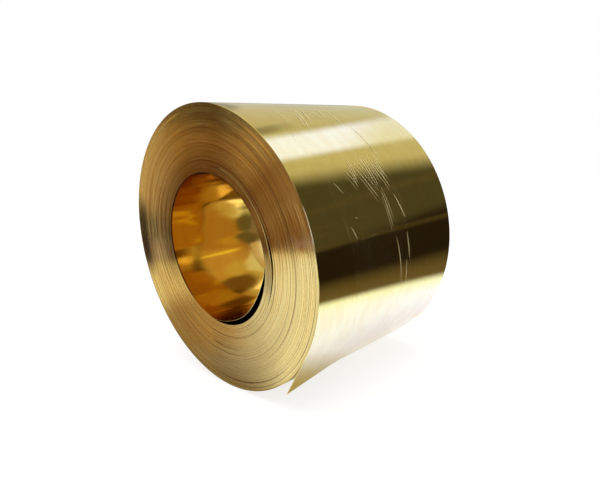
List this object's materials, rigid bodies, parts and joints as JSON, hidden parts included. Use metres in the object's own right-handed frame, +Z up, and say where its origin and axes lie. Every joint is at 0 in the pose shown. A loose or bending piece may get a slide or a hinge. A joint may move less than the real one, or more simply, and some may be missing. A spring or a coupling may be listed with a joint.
{
  "type": "brass strip coil",
  "caption": "Coil of polished brass strip lying on its side, its inner turn sprung loose and its cut outer end held by a band of clear film.",
  "frame": {"origin": "centre of the base of the overall box, on the surface that the coil lies on", "axes": "+X along the coil's axis, from the end with the loose corner to the other end; +Z up"},
  "size_m": [0.4012, 0.5693, 0.5694],
  "materials": {
    "polished_brass": "polished",
    "clear_film": "clear gloss"
  },
  "bodies": {
    "root": {"brass_strip_coil": "polished_brass", "clear_film_band": "clear_film"}
  },
  "joints": []
}
